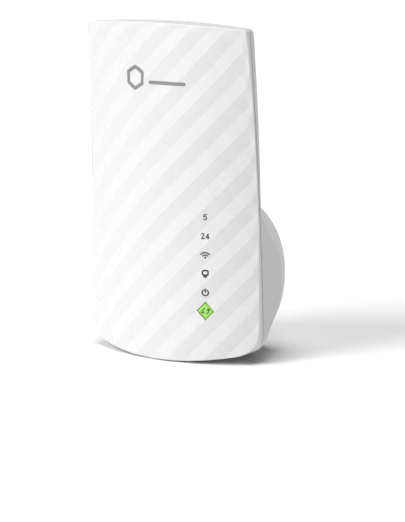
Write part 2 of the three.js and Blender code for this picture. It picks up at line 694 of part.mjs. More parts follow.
// Eight wires on one moulded strip at the front side of the cavity
function makeJackContacts() {
  const strip = box([-15.5, -13], [PORT_FRONT_Y + 0.1, PORT_FRONT_Y + 1.1], [JACK_Z - 5.2, JACK_Z + 5.2]);
  const wires = [];
  for (let i = 0; i < 8; i++) {
    const z = JACK_Z + (i - 3.5) * CONTACT_PITCH;
    wires.push(box([-24.5, -15], [PORT_FRONT_Y + 0.25, PORT_FRONT_Y + 0.6], [z - 0.22, z + 0.22]));
  }
  addPiece('jack_contacts', join(strip, ...wires), MATERIALS.gold);
}

function makeMagnetics() {
  const limits = [BOARD_BACK_Y + CLEAR, -22.4];
  addPiece('network_magnetics', blockOnBoard(-2.5, 2, 9, 13, limits), MATERIALS.chip);
}

// ---------------------------------------------------------------- power supply

function makePowerBoard() {
  const half = 22;
  const corner = 12;
  const sheet = new THREE.Shape();
  sheet.moveTo(-half + corner, -half + 1);
  sheet.lineTo(half - corner, -half + 1);
  sheet.quadraticCurveTo(half, -half + 1, half, -half + corner);
  sheet.lineTo(half, half - corner);
  sheet.quadraticCurveTo(half, half - 1, half - corner, half - 1);
  sheet.lineTo(-half + corner, half - 1);
  sheet.quadraticCurveTo(-half, half - 1, -half, half - corner);
  sheet.lineTo(-half, -half + corner);
  sheet.quadraticCurveTo(-half, -half + 1, -half + corner, -half + 1);
  const holes = POWER_SCREWS.map(([x, z]) => bar('y', SCREW_RADIUS + SCREW_SLACK, [-9, -5], [x, z], 12));
  addPiece('power_board', cut(plate(sheet, [POWER_FRONT_Y, POWER_BACK_Y]), ...holes), MATERIALS.board);
}

function makeTransformer() {
  const front = -20.8;
  const foot = -8.6;
  const limb = 2.3;
  const frame = box([7.5, 14.5], [front, foot], [-9, 9]);
  const window = box([6, 16], [front + limb, foot - limb], [-6.7, 6.7]);
  addPiece('transformer_core', cut(frame, window), MATERIALS.ferrite);
  const slack = 0.3;
  const winding = box([4, 18], [front + limb + slack, foot - limb - slack], [-6.4, 6.4]);
  addPiece('transformer_winding', winding, MATERIALS.tape);
}

function makeCapacitor(name, x, z, radius, frontY) {
  const foot = POWER_FRONT_Y - CLEAR;
  const waist = radius * 0.9;
  const profile = [
    [0, 0], [radius, 0], [radius, 1.4], [waist, 1.8], [radius, 2.2],
    [radius, foot - frontY - 0.4], [radius - 0.4, foot - frontY], [0, foot - frontY],
  ];
  const points = profile.map(([r, y]) => new THREE.Vector2(r, y));
  const can = new THREE.LatheGeometry(points, 24).rotateX(Math.PI).translate(x, foot, z);
  addPiece(name, can, MATERIALS.capacitorSleeve);
}

function makePowerParts() {
  const foot = POWER_FRONT_Y - CLEAR;
  makeCapacitor('bulk_capacitor_1', -5, -15.3, 4, -20.4);
  makeCapacitor('bulk_capacitor_2', 4, -15.3, 4, -20.4);
  makeCapacitor('output_capacitor', 13.6, 14.8, 3.15, -19.6);
  addPiece('bridge_rectifier', blockOnBoard(-11, 8, 6.6, 5, [foot - 2.6, foot]), MATERIALS.chip);
  addPiece('switching_controller', blockOnBoard(-2, -3, 5, 4, [foot - 1.6, foot]), MATERIALS.chip);
  addPiece('safety_capacitor', blockOnBoard(-9, 15.8, 11, 4.5, [foot - 8.5, foot]), MATERIALS.film);
  addPiece('isolation_capacitor', bar('z', 3, [-15.6, -12.8], [-14, foot - 3.2], 18), MATERIALS.ceramicBlue);
  addPiece('fuse', bar('x', 1.9, [-3.5, 4.5], [foot - 2.1, 11.6], 14), MATERIALS.glassFuse);
  const choke = join(
    bar('y', 3.2, [foot - 1.4, foot], [14.8, -14.4], 18),
    bar('y', 2.4, [foot - 7, foot - 0.5], [14.8, -14.4], 18),
    bar('y', 3.2, [foot - 8, foot - 6.6], [14.8, -14.4], 18),
  );
  addPiece('choke', choke, MATERIALS.ferrite);
}

// Low-voltage leads from the power board up to a connector on the main board
function makePowerLeads() {
  const connector = box([-17.4, -11], [BOARD_BACK_Y + CLEAR, -23], [-18.6, -14.8]);
  addPiece('power_connector', connector, MATERIALS.naturalPlastic);
  const names = ['lead_positive', 'lead_negative'];
  names.forEach((name, i) => {
    const x = -15.6 + i * 2.8;
    const bow = i === 0 ? -1 : 1;
    const route = [[x, -22.8, -16.7], [x + bow * 0.6, -19, -16.9], [x, -15, -16.6], [x, -8.3, -16.6]];
    const looks = [MATERIALS.redWire, MATERIALS.blackWire];
    addPiece(name, lead(route, 0.7, 12), looks[i]);
  });
}

function makeInsulatingSheet() {
  const sheet = polygon([[-9, -18], [-7, -20], [16, -20], [22, -14], [22, 14], [16, 20], [-7, 20], [-9, 18]]);
  addPiece('insulating_sheet', plate(sheet, [-21.7, -21.3]), MATERIALS.film);
}

// ---------------------------------------------------------------- assembly

makeFrontCover();
makeBackCover();
makeRatingLabel();
makeBlade('line_blade', 1);
makeBlade('neutral_blade', -1);
makeBladeCarrier();
makeSyncButton();
makeSyncSwitch();
makeResetSwitch();
makeLamps();
makeLightGuide();
makeLightBlocker();
makeMainBoard();
makeRadioSection();
makeHeatSink();
makeScrews();
makeAntennas();
makeJack();
makeJackContacts();
makeMagnetics();
makePowerBoard();
makeTransformer();
makePowerParts();
makePowerLeads();
makeInsulatingSheet();

export default part;
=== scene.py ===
"""Looks of the plug-in wifi range extender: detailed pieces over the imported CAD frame.

Sizes are millimetres until a mesh is made. The front faces -Y, +Z is up, and the origin is the middle
of the plug boss's flat rear face, as in the CAD.
"""

import math

import bmesh
import bpy
import numpy as np
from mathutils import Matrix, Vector


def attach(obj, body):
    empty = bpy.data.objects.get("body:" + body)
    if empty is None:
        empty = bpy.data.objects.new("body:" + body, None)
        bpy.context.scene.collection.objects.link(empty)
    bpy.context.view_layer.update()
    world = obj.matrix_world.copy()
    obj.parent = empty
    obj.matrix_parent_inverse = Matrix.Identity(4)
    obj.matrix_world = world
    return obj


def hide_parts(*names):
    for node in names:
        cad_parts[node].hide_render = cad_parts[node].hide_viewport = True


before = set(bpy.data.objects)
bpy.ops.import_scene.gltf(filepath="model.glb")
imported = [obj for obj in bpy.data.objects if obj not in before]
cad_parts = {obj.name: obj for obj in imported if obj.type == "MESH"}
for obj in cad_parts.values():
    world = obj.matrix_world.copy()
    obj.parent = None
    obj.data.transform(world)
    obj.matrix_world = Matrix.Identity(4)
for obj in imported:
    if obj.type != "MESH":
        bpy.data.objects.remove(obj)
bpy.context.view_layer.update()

MM = 0.001

# ---------------------------------------------------------------- driving dimensions

TOP = 84
BOTTOM = -26
HALF_WIDTH = 32.9
TOP_TAPER = 2.4
TOP_ARCH = 1.4
BOTTOM_ARCH = 3.8
TOP_CORNER = 1.8
BOTTOM_CORNER = 7
OUTLINE_STEPS = [40, 12, 60, 8, 40, 8, 60, 12]

FACE_MIDDLE_Y = -37.7
FACE_MIDDLE_BOW = 0.8
FACE_EDGE_Y = -26.4
FACE_EDGE_SWEEP = 5.4
CROWN_POWER = 2.1
PARTING_Y = -23.7
PARTING_SWEEP = 5.6
PARTING_POWER = 1.35
THIN_BACK_Y = -24.9
THIN_BACK_SWEEP = 2.1

BOSS_HALF_WIDTH = 25.9
BOSS_HALF_HEIGHT = 24.6
BOSS_POWER = 2.2
BOSS_FLANK = 1.57
FLANK_POWER = 0.86
LABEL_RECESS = 0.4
LABEL_HALF_WIDTH = 15
LABEL_SPAN = (-21, -9)

FRONT_WALL = 1.6
BACK_WALL = 1.5
BOSS_WALL = 2.2
EDGE_ROUND = 0.3         # 0.45 in the CAD: the looks are crisper
SEAM = 0.4
TONGUE_INSET = 1.95
TONGUE_THICK = 1.1
TONGUE_HEIGHT = 1.6
CLEAR = 0.1

BLADE_SPACING = 12.7
BLADE_WIDTH = 6.35
BLADE_THICK = 1.52
BLADE_LENGTH = 17.5
BLADE_ROOT_Y = -5.6
BLADE_HOLE_RADIUS = 1.6
BLADE_HOLE_Y = 11.9
BLADE_SLACK = 0.3

COLUMN_X = 17.3
BUTTON_Z = -8.5
LAMP_PITCH = 6.16
BUTTON_HALF_DIAGONAL = 2.85
BUTTON_GAP = 0.3
BUTTON_SUNK = 0.12
BUTTON_FOOT_Y = -32.0

JACK_Z = 2
JACK_MOUTH_X = -26.8
JACK_BACK_X = -10
JACK_FRONT_Y = -28.1
JACK_BACK_Y = -13.6
JACK_HALF_HEIGHT = 8
PORT_FRONT_Y = -22.9
PORT_BACK_Y = -16.1
PORT_HALF_HEIGHT = 5.9
LATCH_DEPTH = 1.5
COLLAR_LIP = 0.7
CONTACT_PITCH = 1.02
PIN_HOLE_RADIUS = 0.9
RESET_Y = -22.4
RESET_Z = -13

# ---------------------------------------------------------------- the embossed diamonds

CELL = LAMP_PITCH / math.sqrt(2)     # side of one diamond: one lamp to each
CELL_STEPS = 5           # mesh squares along a diamond's side
RISING_SLOPE = math.radians(6)       # tilt of the bands that rise to the right
FALLING_SLOPE = math.radians(2.4)    # tilt of the bands that fall to the right
PLAIN_MARGIN = 1.0       # the diamonds fade out over this much of the face's edge
FACE_TOP_CORNER = 0.8    # the face's own top corners, crisper than TOP_CORNER
COVER_CREASE = 3         # degrees: folds steeper than this are shaded as edges
RISING_RELIEF = math.tan(RISING_SLOPE) * CELL / 2
FALLING_RELIEF = math.tan(FALLING_SLOPE) * CELL / 2
HOLE_HALF_SIDE = (BUTTON_HALF_DIAGONAL + BUTTON_GAP) / math.sqrt(2)
HOLE_LIP = 0.08

# ---------------------------------------------------------------- housing surfaces


def height_fraction(z):
    return (z - BOTTOM) / (TOP - BOTTOM)


def half_width(z):
    return HALF_WIDTH - TOP_TAPER * height_fraction(z) ** 2


def parting_y(z):
    return PARTING_Y - PARTING_SWEEP * np.maximum(0, height_fraction(z)) ** PARTING_POWER


def face_middle_y(z):
    middle_z = 25
    return FACE_MIDDLE_Y + FACE_MIDDLE_BOW * ((z - middle_z) / (TOP - middle_z)) ** 2


def face_edge_y(z):
    straight_below = 10
    rise = np.maximum(0, (z - straight_below) / (TOP - straight_below))
    return FACE_EDGE_Y - FACE_EDGE_SWEEP * rise**2


def face_y(x, z):
    """Outer surface of the front cover without its diamonds."""
    across = np.minimum(1, np.abs(x) / half_width(z))
    crown = 1 - across**CROWN_POWER
    return face_edge_y(z) + (face_middle_y(z) - face_edge_y(z)) * crown


def thin_back_y(z):
    straight_below = 20
    rise = np.maximum(0, (z - straight_below) / (TOP - straight_below))
    return THIN_BACK_Y - THIN_BACK_SWEEP * rise**2


def back_y(x, z, inset=0.0):
    """Outer surface of the back cover: a thin back that swells into the plug boss."""
    across_x = np.abs(x) / (BOSS_HALF_WIDTH - inset)
    across_z = np.abs(z) / (BOSS_HALF_HEIGHT - inset)
    radius = (across_x**BOSS_POWER + across_z**BOSS_POWER) ** (1 / BOSS_POWER)
    down = np.clip((radius - 1) / (BOSS_FLANK - 1), 0, 1)
    swell = 0.5 + 0.5 * np.cos(np.pi * down**FLANK_POWER)
    return thin_back_y(z) * (1 - swell)


def quadratic(start, control, end, steps):
    """Points on one curved stretch, without its end."""
    t = np.arange(steps)[:, None] / steps
    start, control, end = np.array([start, control, end], float)
    return (1 - t) ** 2 * start + 2 * t * (1 - t) * control + t**2 * end


def outline(inset, top_corner=TOP_CORNER):
    """The housing's outline as X and Z, moved in by inset, anticlockwise as the front shows it."""
    top = TOP - inset
    bottom = BOTTOM + inset
    bottom_corner = max(BOTTOM_CORNER - inset, 1)
    top_half = half_width(top) - inset
    bottom_half = half_width(bottom) - inset
    top_end_z = top - TOP_ARCH * ((top_half - top_corner) / top_half) ** 2
    top_corner_z = top - TOP_ARCH * (1 - (top_corner / top_half) ** 2)
    bottom_end_z = bottom + BOTTOM_ARCH * ((bottom_half - bottom_corner) / bottom_half) ** 2
    bottom_corner_z = bottom + BOTTOM_ARCH * (1 - (bottom_corner / bottom_half) ** 2)
    side_top_z = top_corner_z - top_corner
    side_bottom_z = bottom_corner_z + bottom_corner
    side_middle_z = (side_top_z + side_bottom_z) / 2
    side_top_x = half_width(side_top_z) - inset
    side_bottom_x = half_width(side_bottom_z) - inset
    side_control_x = 2 * (half_width(side_middle_z) - inset) - (side_top_x + side_bottom_x) / 2
    stops = [
        ((bottom_corner - bottom_half, bottom_end_z), (0, 2 * bottom - bottom_end_z)),
        ((bottom_half - bottom_corner, bottom_end_z), (bottom_half, bottom_corner_z)),
        ((side_bottom_x, side_bottom_z), (side_control_x, side_middle_z)),
        ((side_top_x, side_top_z), (top_half, top_corner_z)),
        ((top_half - top_corner, top_end_z), (0, 2 * top - top_end_z)),
        ((top_corner - top_half, top_end_z), (-top_half, top_corner_z)),
        ((-side_top_x, side_top_z), (-side_control_x, side_middle_z)),
        ((-side_bottom_x, side_bottom_z), (-bottom_half, bottom_corner_z)),
    ]
    curves = []
    for i, (start, control) in enumerate(stops):
        end = stops[(i + 1) % len(stops)][0]
        curves.append(quadratic(start, control, end, OUTLINE_STEPS[i]))
    return np.vstack(curves)


# Distance along the crowned face from its middle line, so that the diamonds wrap without stretching
ARC_X = np.linspace(0, HALF_WIDTH + 3, 600)
ARC_MIDDLE_Z = 20
ARC_STEPS = np.hypot(np.diff(ARC_X), np.diff(face_y(ARC_X, ARC_MIDDLE_Z)))
ARC_LENGTH = np.concatenate([[0], np.cumsum(ARC_STEPS)])


def along_face(x):
    return np.sign(x) * np.interp(np.abs(x), ARC_X, ARC_LENGTH)


def across_from(along):
    return np.sign(along) * np.interp(np.abs(along), ARC_LENGTH, ARC_X)


def lattice(x, z):
    """Place in the diamonds' two directions, from the middle of the button."""
    along = along_face(x) - along_face(COLUMN_X)
    up = z - BUTTON_Z
    return (along + up) / math.sqrt(2), (along - up) / math.sqrt(2)


def off_lattice(u, v):
    along = (u + v) / math.sqrt(2) + along_face(COLUMN_X)
    return across_from(along), (u - v) / math.sqrt(2) + BUTTON_Z


def zigzag(t):
    """From 1 to -1 and back, straight between the lattice's lines."""
    phase = t / CELL - 0.5
    return 1 - 2 * np.abs(phase % 2 - 1)


def relief(x, z):
    u, v = lattice(x, z)
    to_edge = np.minimum(half_width(z) - np.abs(x), TOP - TOP_ARCH * (x / HALF_WIDTH) ** 2 - z) - EDGE_ROUND
    fade = np.clip(to_edge / PLAIN_MARGIN, 0, 1)
    return fade * (FALLING_RELIEF * zigzag(u) + RISING_RELIEF * zigzag(v))


def shell_y(x, z):
    return face_y(x, z) + relief(x, z)


# ---------------------------------------------------------------- materials


def node_material(name):
    material = bpy.data.materials.new(name)
    material.use_nodes = True
    tree = material.node_tree
    shader = tree.nodes["Principled BSDF"]
    return material, tree, shader


def add_node(tree, kind, **inputs):
    node = tree.nodes.new(kind)
    for name, value in inputs.items():
        node.inputs[name.replace("_", " ")].default_value = value
    return node


def noise(tree, scale, detail=3.0):
    """Noise in the piece's own coordinates; scale is in cycles per metre."""
    place = tree.nodes.new("ShaderNodeTexCoord")
    texture = add_node(tree, "ShaderNodeTexNoise", Scale=scale, Detail=detail)
    tree.links.new(place.outputs["Object"], texture.inputs["Vector"])
    return texture.outputs["Fac"]


def ramp(tree, factor, low, high):
    """A factor from 0.35 to 0.65 spread over low to high."""
    spread = tree.nodes.new("ShaderNodeMapRange")
    spread.inputs["From Min"].default_value = 0.35
    spread.inputs["From Max"].default_value = 0.65
    spread.inputs["To Min"].default_value = low
    spread.inputs["To Max"].default_value = high
    tree.links.new(factor, spread.inputs["Value"])
    return spread.outputs["Result"]


def tint(tree, shader, factor, first, second):
    mix = tree.nodes.new("ShaderNodeMix")
    mix.data_type = "RGBA"
    mix.inputs["A"].default_value = (*first, 1)
    mix.inputs["B"].default_value = (*second, 1)
    tree.links.new(factor, mix.inputs["Factor"])
    tree.links.new(mix.outputs["Result"], shader.inputs["Base Color"])


def grain(tree, shader, height, strength, distance):
    bump = add_node(tree, "ShaderNodeBump", Strength=strength, Distance=distance)
    tree.links.new(height, bump.inputs["Height"])
    tree.links.new(bump.outputs["Normal"], shader.inputs["Normal"])


def finish_material(name, color, rough, metallic=0.0, shift=0.03, fine=2500, grain_strength=0.1,
                    grain_depth=0.00002, **constants):
    """Moulded, cast or rolled surface: clouded colour, uneven gloss and fine grain."""
    material, tree, shader = node_material(name)
    clouds = noise(tree, 60)
    darker = tuple(max(0.0, c * (1 - shift)) for c in color)
    tint(tree, shader, ramp(tree, clouds, 0, 1), color, darker)
    uneven = ramp(tree, noise(tree, 350), rough * 0.88, rough * 1.12)
    tree.links.new(uneven, shader.inputs["Roughness"])
    grain(tree, shader, noise(tree, fine, 2.0), grain_strength, grain_depth)
    shader.inputs["Metallic"].default_value = metallic
    for key, value in constants.items():
        shader.inputs[key.replace("_", " ")].default_value = value
    return material


FRONT_WHITE = finish_material("front_white", (0.70, 0.70, 0.70), 0.3, shift=0.012, fine=1400,
                              grain_strength=0.05, Specular_IOR_Level=0.2)
BACK_WHITE = finish_material("back_white", (0.64, 0.64, 0.645), 0.4, shift=0.02, fine=4200,
                             grain_strength=0.1, Specular_IOR_Level=0.2)
INK_GREY = finish_material("ink_grey", (0.045, 0.045, 0.05), 0.5, shift=0.2, fine=5000)
EMBLEM_GREY = finish_material("emblem_grey", (0.24, 0.24, 0.245), 0.42, shift=0.08, fine=5000)
BUTTON_GREEN = finish_material("button_green", (0.36, 0.72, 0.13), 0.25, shift=0.08, fine=2500,
                               Coat_Weight=0.3, Coat_Roughness=0.08, Subsurface_Weight=0.25,
                               Subsurface_Scale=0.0012)
SYMBOL_GREEN = finish_material("symbol_green", (0.045, 0.16, 0.035), 0.45, shift=0.1, fine=5000)

SLOT_LOOKS = {
    "label": finish_material("label_film", (0.80, 0.80, 0.79), 0.55, shift=0.03, fine=6000),
    "blade_metal": finish_material("blade_nickel", (0.72, 0.70, 0.66), 0.24, 1.0, shift=0.1, fine=900,
                                   grain_strength=0.12),
    "black_plastic": finish_material("black_plastic", (0.022, 0.022, 0.024), 0.48, shift=0.2),
    "button_plastic": BUTTON_GREEN,
    "natural_plastic": finish_material("natural_plastic", (0.74, 0.71, 0.63), 0.42, shift=0.05),
    "lamp_resin": finish_material("lamp_resin", (0.86, 0.82, 0.55), 0.25, Coat_Weight=0.4),
    "clear_plastic": finish_material("clear_plastic", (0.88, 0.91, 0.92), 0.12,
                                     Transmission_Weight=0.8, IOR=1.49),
    "circuit_board": finish_material("circuit_board", (0.02, 0.13, 0.055), 0.38, shift=0.25, fine=900,
                                     grain_strength=0.25, Coat_Weight=0.4),
    "tinned_steel": finish_material("tinned_steel", (0.62, 0.63, 0.64), 0.32, 1.0, shift=0.12, fine=700),
    "chip_resin": finish_material("chip_resin", (0.028, 0.028, 0.03), 0.52, shift=0.2, fine=5200),
    "thermal_pad": finish_material("thermal_pad", (0.26, 0.32, 0.38), 0.8, shift=0.15, fine=1800),
    "heat_sink_metal": finish_material("heat_sink_metal", (0.55, 0.56, 0.57), 0.36, 1.0, shift=0.1),
    "black_wire": finish_material("black_wire", (0.02, 0.02, 0.02), 0.42, shift=0.2),
    "red_wire": finish_material("red_wire", (0.42, 0.02, 0.015), 0.42, shift=0.15),
    "contact_gold": finish_material("contact_gold", (0.83, 0.58, 0.22), 0.22, 1.0, shift=0.08),
    "ferrite": finish_material("ferrite", (0.045, 0.046, 0.05), 0.66, shift=0.3, fine=1500,
                               grain_strength=0.4),
    "winding_tape": finish_material("winding_tape", (0.68, 0.47, 0.04), 0.38, shift=0.15, fine=800),
    "capacitor_sleeve": finish_material("capacitor_sleeve", (0.016, 0.03, 0.07), 0.3, shift=0.2),
    "blue_ceramic": finish_material("blue_ceramic", (0.03, 0.15, 0.42), 0.4, shift=0.2, fine=900),
    "fuse_body": finish_material("fuse_body", (0.36, 0.29, 0.2), 0.35, shift=0.15),
    "insulating_film": finish_material("insulating_film", (0.68, 0.63, 0.46), 0.45, shift=0.05),
}

# ---------------------------------------------------------------- meshes and objects


def crease(bm, angle):
    """Smooth shading, with a crisp edge wherever two faces meet at more than angle degrees."""
    limit = math.radians(angle)
    for face in bm.faces:
        face.smooth = True
    for edge in bm.edges:
        edge.smooth = len(edge.link_faces) == 2 and edge.calc_face_angle(0) < limit


def tidy(bm):
    bmesh.ops.remove_doubles(bm, verts=bm.verts, dist=0.0002 * MM)
    bmesh.ops.dissolve_degenerate(bm, edges=bm.edges, dist=0.0002 * MM)
    bmesh.ops.recalc_face_normals(bm, faces=bm.faces)


def mesh_of(name, points, faces, angle=30):
    """A mesh in metres from points in millimetres."""
    mesh = bpy.data.meshes.new(name)
    mesh.from_pydata([tuple(float(c) * MM for c in p) for p in points], [], faces)
    bm = bmesh.new()
    bm.from_mesh(mesh)
    tidy(bm)
    crease(bm, angle)
    bm.to_mesh(mesh)
    bm.free()
    return mesh


def object_of(name, mesh, material):
    obj = bpy.data.objects.new(name, mesh)
    mesh.materials.clear()
    mesh.materials.append(material)
    bpy.context.scene.collection.objects.link(obj)
    return obj


def piece(name, mesh, material, body, nodes=()):
    obj = object_of(name, mesh, material)
    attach(obj, body)
    if nodes:
        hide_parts(*nodes)
    return obj


def settled(obj, angle=30):
    """The object's mesh with its modifiers applied, in a mesh of its own. The object goes."""
    bpy.context.view_layer.update()
    evaluated = obj.evaluated_get(bpy.context.evaluated_depsgraph_get())
    mesh = bpy.data.meshes.new_from_object(evaluated)
    bpy.data.objects.remove(obj)
    bm = bmesh.new()
    bm.from_mesh(mesh)
    tidy(bm)
    crease(bm, angle)
    bm.to_mesh(mesh)
    bm.free()
    return mesh


def cut_mesh(mesh, cutter, angle=30):
    """The mesh less the cutter."""
    body = bpy.data.objects.new("cut_body", mesh)
    tool = bpy.data.objects.new("cut_tool", cutter)
    for obj in (body, tool):
        bpy.context.scene.collection.objects.link(obj)
    modifier = body.modifiers.new("cut", "BOOLEAN")
    modifier.operation = "DIFFERENCE"
    modifier.solver = "EXACT"
    modifier.object = tool
    result = settled(body, angle)
    bpy.data.objects.remove(tool)
    return result


def joined(name, meshes):
    """Several meshes as one."""
    bm = bmesh.new()
    for mesh in meshes:
        bm.from_mesh(mesh)
    result = bpy.data.meshes.new(name)
    bm.to_mesh(result)
    bm.free()
    return result


def rings_mesh(name, rings, angle=30):
    """A closed skin over rings of equally many points, closed to a point at each end."""
    count = len(rings[0])
    points = [p for ring in rings for p in ring]
    faces = []
    for i in range(len(rings) - 1):
        for k in range(count):
            after = (k + 1) % count
            faces.append((i * count + k, i * count + after, (i + 1) * count + after, (i + 1) * count + k))
    for ring, start in ((rings[0], 0), (rings[-1], (len(rings) - 1) * count)):
        middle = len(points)
        points.append(np.mean(np.array(ring), axis=0))
        for k in range(count):
            faces.append((start + k, start + (k + 1) % count, middle))
    return mesh_of(name, points, faces, angle)


def prism(name, shape, axis, low, high, edge=0.0, angle=30):
    """A flat outline given thickness along an axis, with its rims rounded by edge.

    The outline is anticlockwise, in the two other axes in X, Y, Z order."""
    shape = np.array(shape, float)
    steps = 3 if edge else 0
    levels = []
    for i in range(steps):
        turn = math.pi / 2 * i / steps
        levels.append((edge * (1 - math.sin(turn)), edge * (1 - math.cos(turn))))
    levels.append((0.0, edge))
    sections = [(low + rise, inset) for inset, rise in levels]
    sections += [(high - rise, inset) for inset, rise in reversed(levels)]
    rings = []
    for place, inset in sections:
        ring = inward(shape, inset)
        rings.append(np.insert(ring, "xyz".index(axis), place, axis=1))
    return rings_mesh(name, rings, angle)


def normals_of(ring):
    """Outward directions at the points of an anticlockwise ring."""
    edges = np.roll(ring, -1, axis=0) - ring
    edges = edges / np.maximum(np.linalg.norm(edges, axis=1)[:, None], 1e-9)
    mean = edges + np.roll(edges, 1, axis=0)
    mean = mean / np.maximum(np.linalg.norm(mean, axis=1)[:, None], 1e-9)
    return np.stack([mean[:, 1], -mean[:, 0]], axis=1)


def inward(ring, inset):
    return ring - inset * normals_of(ring)


def rounded_box(width, height, radius, middle=(0, 0), steps=5):
    """An anticlockwise rectangle with round corners."""
    points = []
    corners = [(1, -1), (1, 1), (-1, 1), (-1, -1)]
    for i, (side_x, side_z) in enumerate(corners):
        centre = (side_x * (width / 2 - radius) + middle[0], side_z * (height / 2 - radius) + middle[1])
        for k in range(steps + 1):
            turn = math.radians(-90 + 90 * i + 90 * k / steps)
            points.append((centre[0] + radius * math.cos(turn), centre[1] + radius * math.sin(turn)))
    return points


def circle(radius, middle, steps=32):
    turns = np.arange(steps) * 2 * math.pi / steps
    return np.stack([middle[0] + radius * np.cos(turns), middle[1] + radius * np.sin(turns)], axis=1)


# ---------------------------------------------------------------- front cover


def lattice_lines(reach):
    """Mesh lines in one direction of the lattice, with the edges of the button's hole among them."""
    cells = math.ceil(reach / CELL)
    steps = np.arange(-cells * CELL_STEPS, cells * CELL_STEPS + 1)
    hole = HOLE_HALF_SIDE + HOLE_LIP
    return np.sort(np.concatenate([(steps / CELL_STEPS + 0.5) * CELL, [-hole, hole]]))


def clipped(polygon, boundary):
    """The part of a convex polygon inside a convex anticlockwise boundary."""
    kept = polygon
    for i in range(len(boundary)):
        a, b = boundary[i], boundary[(i + 1) % len(boundary)]
        side = [(b[0] - a[0]) * (p[1] - a[1]) - (b[1] - a[1]) * (p[0] - a[0]) for p in kept]
        if min(side) >= 0:
            continue
        result = []
        for k, point in enumerate(kept):
            after = (k + 1) % len(kept)
            if side[k] >= 0:
                result.append(point)
            if (side[k] >= 0) != (side[after] >= 0):
                share = side[k] / (side[k] - side[after])
                other = kept[after]
                result.append((point[0] + share * (other[0] - point[0]),
                               point[1] + share * (other[1] - point[1])))
        kept = result
        if len(kept) < 3:
            return []
    return kept


def face_net():
    """Points and polygons of the embossed face in X and Z, cut to its outline, with the button's hole."""
    rim = outline(EDGE_ROUND, FACE_TOP_CORNER)
    lines = lattice_lines(110)
    u, v = np.meshgrid(lines, lines, indexing="ij")
    x, z = off_lattice(u, v)
    ahead = np.roll(rim, -1, axis=0) - rim
    inside = np.ones(x.shape, bool)
    for (px, pz), (dx, dz) in zip(rim, ahead):
        inside &= dx * (z - pz) - dz * (x - px) >= 0
    near = (np.abs(x) < HALF_WIDTH + 2) & (z > BOTTOM - 4) & (z < TOP + 4)
    rim_list = [tuple(p) for p in rim]
    hole = HOLE_HALF_SIDE + HOLE_LIP
    points, faces, index = [], [], {}

    def add(px, pz):
        key = (round(px, 4), round(pz, 4))
        if key not in index:
            index[key] = len(points)
            points.append((px, pz))
        return index[key]

    for i in range(len(lines) - 1):
        for j in range(len(lines) - 1):
            corners = [(i, j), (i, j + 1), (i + 1, j + 1), (i + 1, j)]
            if not any(near[c] for c in corners):
                continue
            middle_u = (lines[i] + lines[i + 1]) / 2
            middle_v = (lines[j] + lines[j + 1]) / 2
            if abs(middle_u) < hole and abs(middle_v) < hole:
                continue
            polygon = [(float(x[c]), float(z[c])) for c in corners]
            if not all(inside[c] for c in corners):
                polygon = clipped(polygon[::-1], rim_list)
            face = []
            for p in polygon:
                k = add(*p)
                if k not in face:
                    face.append(k)
            if len(face) > 2:
                faces.append(face)
    return np.array(points), faces


def wound(points, faces):
    """The polygons, all anticlockwise."""
    result = []
    for face in faces:
        ring = points[face]
        after = np.roll(ring, -1, axis=0)
        area = np.sum(ring[:, 0] * after[:, 1] - after[:, 0] * ring[:, 1])
        result.append(face if area > 0 else face[::-1])
    return result


def open_loops(faces):
    """The closed chains of edges that have a polygon on one side only."""
    edges = {(a, b) for face in faces for a, b in zip(face, face[1:] + face[:1])}
    following = {a: b for a, b in edges if (b, a) not in edges}
    loops = []
    while following:
        start, at = following.popitem()
        loop = [start]
        while at != start:
            loop.append(at)
            at = following.pop(at)
        loops.append(loop)
    return sorted(loops, key=len, reverse=True)


def front_inside(ring):
    """Where a point of the face goes on the inner skin: only the margin moves in, by the wall."""
    x, z = ring[:, 0], ring[:, 1]
    middle = (TOP + BOTTOM) / 2
    across = x / half_width(z)
    up = (z - middle) / ((TOP - BOTTOM) / 2)
    steep = 8
    shift = FRONT_WALL - EDGE_ROUND
    return np.stack([x - shift * np.sign(x) * np.abs(across) ** steep,
                     z - shift * np.sign(up) * np.abs(up) ** steep], axis=1)


